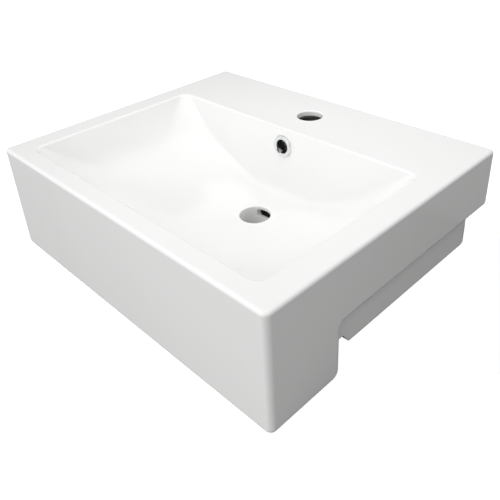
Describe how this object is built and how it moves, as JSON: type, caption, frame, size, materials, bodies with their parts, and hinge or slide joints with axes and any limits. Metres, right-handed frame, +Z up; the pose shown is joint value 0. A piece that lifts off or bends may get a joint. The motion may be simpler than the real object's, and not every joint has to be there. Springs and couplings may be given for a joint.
{
  "type": "semi recessed basin",
  "caption": "White rectangular semi recessed basin with a deep front apron, one tap hole, a waste hole and a chromed overflow ring.",
  "frame": {"origin": "middle of the footprint, level with the underside of the front apron", "axes": "+Z up, -Y to the front, +X to the right of a person at the basin"},
  "size_m": [0.51, 0.42, 0.157],
  "materials": {
    "china": "glossy white glaze",
    "chromed_ring": "polished",
    "clip_plastic": "moulded",
    "seal_rubber": "matt"
  },
  "bodies": {
    "basin": {"basin_body": "china"},
    "overflow_fitting": {"overflow_ring": "chromed_ring", "overflow_clip": "clip_plastic", "overflow_seal": "seal_rubber"}
  },
  "joints": [
    {"name": "overflow_pull", "type": "slide", "parent": "basin", "child": "overflow_fitting", "axis": [0, -0.9986, 0.0533], "range_m": [0, 0.03]}
  ]
}
